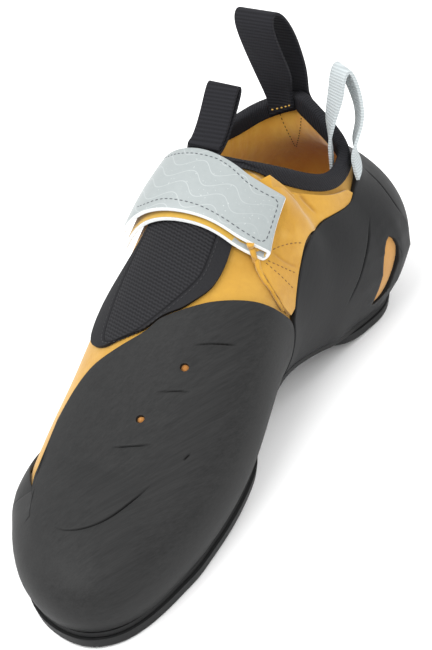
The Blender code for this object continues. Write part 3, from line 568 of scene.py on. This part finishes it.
def liningFinish():   # golden suede inside, with upright creases and painted shade, darker brown, low down
    nap = Finish("suedeLining", (0.62, 0.30, 0.06), 0.9, Sheen_Weight=0.3)
    x, y, z = nap.axes()
    pile = nap.noise(380.0, 6.0)
    folds = nap.noise(1.0, 3.0, nap.stretched((170.0, 170.0, 28.0)))
    low = 1.0 - z.over(0.045, 0.088)
    tone = (folds * 1.5 - 0.3 + (pile - 0.5) * 0.8).clamp()
    tone = nap.blend(tone, (0.84, 0.39, 0.037), (0.97, 0.60, 0.087))
    # painted shade: darker brown low inside the shoe
    nap.colour(nap.blend(low * 0.35, tone, (0.46, 0.15, 0.03)))
    nap.roughness(0.8 + pile * 0.15)
    nap.relief(pile * 0.6 + folds * 2.0, 0.0005, 0.7)
    return nap


toeTurn = (0.0, 0.0, math.radians(24))
toeFinish = rubberFinish("toeRubber", toeTurn, (0.0070, 0.0072, 0.0074), (0.0172, 0.0174, 0.0174))
heelTurn = (math.radians(-45), 0.0, 0.0)
heelFinish = rubberFinish("heelRubber", heelTurn, (0.0050, 0.0052, 0.0058), (0.0118, 0.0121, 0.0127))
soleFinish = rubberFinish("soleRubber", (0.0, 0.0, 0.0), (0.0065, 0.0067, 0.0070), (0.0130, 0.0132, 0.0134))
suede = leatherFinish("suede", (0.355, 0.175, 0.0128), (0.475, 0.265, 0.032), (0.50, 0.30, 0.075))
quarterSuede = leatherFinish("quarterSuede", (0.36, 0.173, 0.009), (0.49, 0.265, 0.0225), (0.53, 0.31, 0.055))
# painted shade: a darker, redder copy of the suede for the domes in the vents
shadedVentSuede = leatherFinish("shadedVentSuede", (0.33, 0.12, 0.02), (0.49, 0.21, 0.045), (0.58, 0.31, 0.10))
windowSuede = leatherFinish("windowSuede", (0.36, 0.16, 0.020), (0.46, 0.22, 0.032), (0.50, 0.27, 0.06))
lining = liningFinish()
blackTape = webbingFinish("blackTape", (0.0035, 0.0035, 0.0048), (0.0145, 0.0145, 0.018), 0.00135)
paleTape = webbingFinish("paleTape", (0.30, 0.33, 0.34), (0.49, 0.53, 0.54), 0.0011, 0.7)
collarKnit = bindingFinish()
ribbedMesh = meshFinish()
strapFace = strapFinish()
strapEdge = plainFinish("strapEdge", (0.56, 0.575, 0.575), (0.68, 0.69, 0.69), 0.6)
softNap = {"Sheen_Weight": 0.3}
strapBack = plainFinish("strapBack", (0.37, 0.205, 0.018), (0.52, 0.33, 0.045), 0.9, 500.0, 0.0004, **softNap)
footbed = plainFinish("footbed", (0.29, 0.15, 0.04), (0.48, 0.29, 0.09), 0.9, 450.0, 0.0003, **softNap)
darkThread = plainFinish("darkThread", (0.035, 0.040, 0.045), (0.09, 0.10, 0.11), 0.7, 2500.0)
brownThread = plainFinish("brownThread", (0.10, 0.05, 0.015), (0.25, 0.12, 0.03), 0.8, 2500.0)
blackThread = plainFinish("blackThread", (0.005, 0.005, 0.006), (0.018, 0.018, 0.021), 0.7, 2500.0)
goldThread = plainFinish("goldThread", (0.42, 0.23, 0.03), (0.62, 0.38, 0.08), 0.7, 2500.0)
print(round(time.time() - began, 1), "finishes")


# rubber
toe = dress("toe_rubber", "toeRubber", 2, 0.0004)
toe.data.materials.append(toeFinish.material)
cutOut = {"middle": (388, 262), "kept": 0.021, "rim": 48}   # pixel, reach and the angle that stays sharp
window = touch(cutOut["middle"], skin(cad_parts["upper"]))[0]
heel = dress("heel_rubber", "heelRubber", 2, 0.0, cutOut["rim"], (window, cutOut["kept"]))
bpy.ops.object.shade_smooth_by_angle(angle=math.radians(cutOut["rim"]))
heel.data.materials.append(heelFinish.material)
rand = dress("lateral_rand", "lateralRand", 2, 0.0004)
rand.data.materials.append(toeFinish.material)
toeSkin, heelSkin = skin(toe), skin(heel)
toeLines = {   # folds and cuts: line in pixels and depth
    "foldHigh": ([(194, 345), (208, 344), (224, 344), (238, 346)], 0.0006),
    "foldMid": ([(157, 392), (174, 391), (191, 392)], 0.0003),
    "slit": ([(112, 447), (130, 446), (152, 444)], 0.0008),
    "nick": ([(184, 460), (190, 454)], 0.0005),
    "curve": ([(54, 527), (67, 530), (87, 527), (110, 517), (137, 497), (153, 483)], 0.0008),
}
toeGrid, toeWidth = 0.0016, 0.00045
toeTraced = {name: traced(line, toeSkin) for name, (line, depth) in toeLines.items()}
refine(toe, toeTraced.values(), toeGrid, 3)
# each line is pressed in and darkened with painted shade
for name, line in toeTraced.items():
    press(toe, line, toeWidth, toeLines[name][1])
heelLines = {   # line, width and depth
    "ridge": ([(362, 166), (382, 186), (404, 217)], 0.0006, 0.0003),
    "groove": ([(370, 216), (368, 246), (360, 278), (347, 306)], 0.0005, 0.0008),
}
heelGrid = 0.0022
heelTraced = {name: traced(line, heelSkin) for name, (line, width, depth) in heelLines.items()}
refine(heel, heelTraced.values(), heelGrid, 3)
bpy.ops.object.shade_smooth_by_angle(angle=math.radians(cutOut["rim"]))
# each line is pressed in and darkened with painted shade
for name, line in heelTraced.items():
    press(heel, line, *heelLines[name][1:])
rims = {   # pale cut edges of the rubber against the suede, and their strength
    "toe": ([(37, 492), (41, 470), (48, 448), (57, 424), (70, 398), (80, 376), (97, 360), (109, 353),
             (140, 342), (165, 328), (190, 317), (215, 304), (236, 301), (262, 307), (281, 317),
             (291, 325)], 0.6),
    "heel": ([(291, 325), (293, 305), (294, 285), (298, 262), (302, 245), (312, 231), (326, 221), (345, 208),
              (352, 196)], 0.9),
}
rimWidth, rimReach = 0.0022, 0.02
for piece, name in ((toe, "toe"), (heel, "heel")):
    cutEdge = traced(rims[name][0], skin(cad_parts["upper"]), rimReach)
    paintNear(piece, cutEdge, rimWidth, "rim", rims[name][1])
print(round(time.time() - began, 1), "rubber", len(toe.data.polygons), len(heel.data.polygons))

# sole
for node, name in (("midsole", "midSole"), ("outsole_front", "frontSole"), ("outsole_heel", "heelSole")):
    piece = dress(node, name, 2, 0.0005, 40)
    piece.data.materials.append(soleFinish.material)
insole = dress("insole", "innerSole", 1, 0.0)
insole.data.materials.append(footbed.material)
print(round(time.time() - began, 1), "sole")

# upper: suede outside, lining inside
upper = dress("upper", "suedeUpper", 2, 0.0)
upper.data.materials.append(suede.material)
upper.data.materials.append(lining.material)
middleLine = [(0.009, -0.11, 0.016), (0.010, -0.08, 0.018), (0.005, -0.04, 0.026), (-0.001, 0.0, 0.042),
              (-0.003, 0.03, 0.052), (-0.002, 0.055, 0.050), (0.0, 0.075, 0.045), (0.0, 0.085, 0.045)]
heelFrom, heelMiddle = 0.055, (0.0, 0.075)   # behind this Y the inside is round an upright axis
liningLean = 0.25   # a face that looks inward more than this is lining
for face in upper.data.polygons:
    inner = min((Vector(p) - face.center for p in middleLine), key=lambda v: v.length)
    if face.center.y > heelFrom:
        inner = Vector((*heelMiddle, face.center.z)) - face.center
    face.material_index = 1 if face.normal.dot(inner.normalized()) > liningLean else 0
upperSkin = skin(upper)
randShape = {   # at the middle its upper edge runs lower and thinner: share that is left, and from which Y
    "low": 0.55, "from": -0.078, "to": 0.005, "fade": 0.030,
    "skived": 0.35, "skivedFrom": -0.100, "skivedFade": 0.012,
    "slices": 30, "slice": 0.006, "touching": 0.0009,   # its height is measured in slices along Y
}
spots = verts(rand)
levels = np.linspace(spots[:, 1].min(), spots[:, 1].max(), randShape["slices"])
slices = [spots[np.abs(spots[:, 1] - y) < randShape["slice"], 2] for y in levels]
tops, feet = [heights.max() for heights in slices], [heights.min() for heights in slices]
for spot in rand.data.vertices:
    place = spot.co
    foot, crown = np.interp(place.y, levels, feet), np.interp(place.y, levels, tops)
    high = (place.z - foot) / max(0.001, crown - foot)
    behind = max(0.0, (randShape["to"] - place.y) / randShape["fade"])
    lowShare = min(1.0, max(0.0, (place.y - randShape["from"]) / randShape["fade"]), behind)
    skiveShare = min(1.0, max(0.0, (place.y - randShape["skivedFrom"]) / randShape["skivedFade"]), behind)
    nearTop = skiveShare * max(0.0, high - 0.5) * 2.0
    far = upperSkin.find_nearest(place)[3]
    height = (place.z - foot) * (1.0 + (randShape["low"] - 1.0) * lowShare)
    lowered = Vector((place.x, place.y, foot + height))
    seat, way, number, gap = upperSkin.find_nearest(lowered)
    thin = 1.0 - (1.0 - randShape["skived"]) * nearTop if far > randShape["touching"] else 1.0
    side = (lowered - seat).normalized() if gap > 0.0001 else way
    spot.co = place.lerp(seat + side * far * thin, max(lowShare, nearTop))
vents = {   # suede that bulges in the two vents of the toe rubber, coloured darker as painted shade
    "pixels": [(185.5, 368.3), (141.0, 419.3)], "radius": 0.00165, "tall": 0.0011,
    "shaded": [(185, 368), (141, 420)], "shade": 0.0045, "grid": 0.006,   # painted shade: darker suede round them
}
ventSpots = [touch(pixel, upperSkin) for pixel in vents["shaded"]]
refine(upper, [[vent] for vent in ventSpots], vents["grid"], 2)
for vent in ventSpots:
    # painted shade round each vent, which the suede reads as deep
    paintNear(upper, [vent], vents["shade"], "deep", 0.85)
windowPatch = {   # suede that fills the crescent in the heel rubber almost to its face
    "outline": [(386, 235), (392, 239), (397, 248), (399, 261), (396, 275), (390, 288), (381, 299),
                (372.5, 303), (373.5, 293), (377.5, 278), (379.5, 264), (380.5, 250), (382.5, 240)],
    "past": 7.0, "reach": 0.026, "lift": 0.0015, "thick": 0.0004,   # past is in pixels, over the outline
}
patch = upper.copy()
patch.data = upper.data.copy()
patch.name = patch.data.name = "windowSuede"
for key in list(patch.keys()):
    del patch[key]
bpy.context.scene.collection.objects.link(patch)
within = insideBy(toPixel([f.center for f in patch.data.polygons]), windowPatch["outline"])
onlySelect(patch)
bpy.ops.object.mode_set(mode="EDIT")
bpy.ops.mesh.select_mode(type="FACE")
bpy.ops.mesh.select_all(action="DESELECT")
bpy.ops.object.mode_set(mode="OBJECT")
for face, value in zip(patch.data.polygons, within):
    near = value > -windowPatch["past"] and (face.center - window).length < windowPatch["reach"]
    face.select = not (near and face.material_index == 0 and face.normal.x > 0.1)
bpy.ops.object.mode_set(mode="EDIT")
bpy.ops.mesh.delete(type="FACE")
bpy.ops.object.mode_set(mode="OBJECT")
lifted = verts(patch) + verts(patch, "normal") * windowPatch["lift"]
patch.data.vertices.foreach_set("co", lifted.ravel())
step = patch.modifiers.new("sheet", "SOLIDIFY")
step.thickness = windowPatch["thick"]
step.offset = -1.0
applyAll(patch)
patch.data.materials.clear()
patch.data.materials.append(windowSuede.material)
for face in patch.data.polygons:
    face.material_index = 0
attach(patch, "root")
print(round(time.time() - began, 1), "window", len(patch.data.polygons))
for number, pixel in enumerate(vents["pixels"]):
    spot, facing = touch(pixel, upperSkin)
    bpy.ops.object.select_all(action="DESELECT")
    bpy.ops.mesh.primitive_uv_sphere_add(segments=24, ring_count=12, radius=1.0)
    dome = bpy.context.active_object
    dome.name = dome.data.name = "shadedVentSuede" + str(number + 1)
    size = Matrix.Diagonal((vents["radius"], vents["radius"], vents["tall"], 1.0))
    dome.data.transform(Matrix.Translation(spot) @ facing.to_track_quat("Z", "Y").to_matrix().to_4x4() @ size)
    dome.data.materials.append(shadedVentSuede.material)
    bpy.ops.object.shade_smooth()
    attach(dome, "root")
print(round(time.time() - began, 1), "upper", len(upper.data.polygons))

# inner quarter with its raised front edge, creases and stitch lines
quarter = dress("medial_quarter", "innerQuarter", 3, 0.0003)
quarter.data.materials.append(quarterSuede.material)
quarterSkin = skin(quarter)
quarterLines = {   # line, width, depth and how much painted shade it gets
    "edge": ([(252, 242), (254, 262), (263, 281), (274, 299), (291, 325)], 0.0011, -0.0004, 0.0),
    "fold": ([(288, 176), (296, 190), (306, 202), (318, 214)], 0.0012, 0.0005, 0.6),
    "foldLow": ([(270, 250), (286, 262), (299, 268)], 0.0009, 0.0003, 0.45),
    "foldFront": ([(262, 270), (272, 290), (283, 305)], 0.0010, 0.0004, 0.6),
}
quarterGrid = 0.0026
quarterTraced = {name: traced(line[0], quarterSkin) for name, line in quarterLines.items()}
refine(quarter, quarterTraced.values(), quarterGrid, 2)
# the folds are pressed in with painted shade; the raised edge gets none
for name, (line, width, depth, share) in quarterLines.items():
    isFold = name != "edge"
    press(quarter, quarterTraced[name], width, depth, "creaseShade" if isFold else "raised", share, isFold)
quarterThread = {"pitch": 0.0021, "long": 0.0013, "thick": 0.00042, "lift": 0.00003}
quarterSkin = skin(quarter)
quarterSeams = [traced(line, quarterSkin) for line in (
    [(268, 252), (281, 246), (294, 243), (306, 243)], [(262, 258), (280, 266), (300, 275)],
    [(265, 262), (281, 276), (295, 290)])]
sew("quarterStitches", quarterSeams, quarterThread, brownThread)
piping = {"line": [(256, 258), (259, 268), (266, 282), (277, 299), (291, 324)], "radius": 0.0011}
cord("quarterPiping", traced(piping["line"], quarterSkin), piping["radius"], quarterSuede)
print(round(time.time() - began, 1), "quarter", len(quarter.data.polygons))

# tongue: ribbed mesh with a stitched band round it
tongue = dress("tongue_panel", "tonguePanel", 3, 0.0007)
tongue.data.materials.append(ribbedMesh.material)
tongueSkin = skin(tongue)
tongueInner = [(147, 230), (137, 250), (123, 280), (113, 305), (104, 336), (112, 341), (136, 330), (172, 302),
               (199, 277), (210, 254), (217, 234)]   # inner edge of the plain band
tongueShape = {"grid": 0.0026, "width": 0.0005, "depth": 0.0004,
               "bandFade": 1.6, "seamOff": 2.5, "seamDown": 1.5, "tip": 5}   # in pixels, and the corner at the tip
innerLine = traced(tongueInner, tongueSkin)
refine(tongue, [innerLine], tongueShape["grid"], 2)
band = field(tongue, "band")
inner = insideBy(toPixel(verts(tongue)), tongueInner + [(224, 205), (165, 195)])   # closed under the strap
band.data.foreach_set("value", np.clip(0.5 - inner / tongueShape["bandFade"], 0.0, 1.0).astype(np.float32))
# the pressed line is darkened with painted shade
press(tongue, innerLine, tongueShape["width"], tongueShape["depth"], fade=False)
tongueSkin = skin(tongue)
tongueThread = {"pitch": 0.0019, "long": 0.0013, "thick": 0.0004, "lift": 0.00005}
seamOff, seamDown, tip = [tongueShape[k] for k in ("seamOff", "seamDown", "tip")]
bandSeam = [(x + (seamOff if k > tip else -seamOff), y + seamDown) for k, (x, y) in enumerate(tongueInner)]
sew("tongueStitches", [traced(bandSeam, tongueSkin)], tongueThread, blackThread)
print(round(time.time() - began, 1), "tongue", len(tongue.data.polygons))

# collar, loops and tab
binding = dress("collar_binding", "collarBinding", 2, 0.0, 89)
binding.data.materials.append(collarKnit.material)
dressed = {}
for node, name, finish in (("heel_loop", "heelLoop", blackTape), ("side_loop", "sideLoop", paleTape),
                           ("tongue_tab", "tongueTab", blackTape)):
    dressed[name] = dress(node, name, 2, 0.0002)
    dressed[name].data.materials.append(finish.material)
keeper = dress("strap_keeper", "strapKeeper", 2, 0.0003)
keeper.data.materials.append(quarterSuede.material)
keeperShape = {   # it is made narrower and shorter, and runs into the piping
    "top": (255, 243), "end": (243, 284), "newEnd": (257.5, 262), "narrow": 0.62, "blend": 0.004,
    "loop": [(250.5, 243), (251.5, 248), (253.5, 254), (256, 261), (258.5, 267)], "radius": 0.0014,
}
keeperSkin = skin(keeper)
top, upwards = touch(keeperShape["top"], keeperSkin)
end = touch(keeperShape["end"], keeperSkin)[0]
newEnd = touch(keeperShape["newEnd"], quarterSkin)[0]
oldAxes, newAxes = [(end - top).normalized()], [(newEnd - top).normalized()]
for axes in (oldAxes, newAxes):
    axes.append(axes[0].cross(upwards).normalized())
    axes.append(axes[0].cross(axes[1]))
shorter = (newEnd - top).length / (end - top).length
for spot in keeper.data.vertices:
    along, across, out = [(spot.co - top).dot(axis) for axis in oldAxes]
    across *= keeperShape["narrow"]
    moved = top + newAxes[0] * along * shorter + newAxes[1] * across + newAxes[2] * out
    spot.co = spot.co.lerp(moved, min(1.0, max(0.0, along / keeperShape["blend"])))
tackThread = {"pitch": 0.0021, "long": 0.0010, "thick": 0.0007, "lift": 0.0001}
tackLine = traced([(270, 110), (280, 108), (291, 105)], skin(dressed["heelLoop"]), 0.02)
sew("loopTacks", [tackLine], tackThread, goldThread)
print(round(time.time() - began, 1), "collar and loops")

# strap: pale face, white cut edges, suede back
strap = dress("strap", "frontStrap", 2, 0.00025)
strapSkin = skin(strap)
strapShape = {
    "axisFrom": (0.004, -0.040, 0.030), "axisTo": (-0.002, 0.055, 0.050),   # through the foot
    "edge": 0.55,   # a face that looks out or in less than this is a cut edge
    "start": 0.0006, "layers": 0.012,   # how far above a face another layer is looked for
}
for finish in (strapFace, strapEdge, strapBack):
    strap.data.materials.append(finish.material)
axisFrom, axisTo = Vector(strapShape["axisFrom"]), Vector(strapShape["axisTo"])
axisWay = (axisTo - axisFrom).normalized()
for face in strap.data.polygons:
    outward = face.center - axisFrom
    outward = (outward - axisWay * outward.dot(axisWay)).normalized()
    lean = face.normal.dot(outward)
    start = face.center + outward * strapShape["start"]
    covered = strapSkin.ray_cast(start, outward, strapShape["layers"])[0]   # the upper layer lies over it
    face.material_index = 1 if abs(lean) < strapShape["edge"] else (0 if lean > 0 and not covered else 2)
loopSpots = []
for pixel in smoothLine(keeperShape["loop"]):   # the keeper's part that shows, over the lower layer
    hits = [hit for hit in (touch((pixel[0], pixel[1]), tree) for tree in (strapSkin, quarterSkin)) if hit]
    loopSpots.append(min(hits, key=lambda hit: (hit[0] - eye).length))
cord("keeperLoop", loopSpots, keeperShape["radius"], quarterSuede)
strapThread = {"pitch": 0.0022, "long": 0.0015, "thick": 0.00042, "lift": 0.00002}
strapSeam = [(137, 207), (160, 199), (180, 200), (201, 206), (222, 217), (243, 231), (260, 241), (266, 240),
             (272, 224), (278, 204), (276, 199), (264, 193), (248, 183), (233, 169), (218, 159), (200, 154),
             (186, 153), (172, 155), (155, 163)]
sew("strapStitches", [traced(strapSeam, strapSkin, 0.006)], strapThread, darkThread)
print(round(time.time() - began, 1), "strap", len(strap.data.polygons))

# seams inside the heel
liningThread = {"pitch": 0.0021, "long": 0.0012, "thick": 0.0004, "lift": 0.0001}
heelSeams = [traced(line, upperSkin) for line in (
    [(278, 108), (284, 124), (296, 148)], [(302, 110), (300, 130), (296, 148)])]
sew("liningStitches", heelSeams, liningThread, brownThread)
print(round(time.time() - began, 1), "lining")
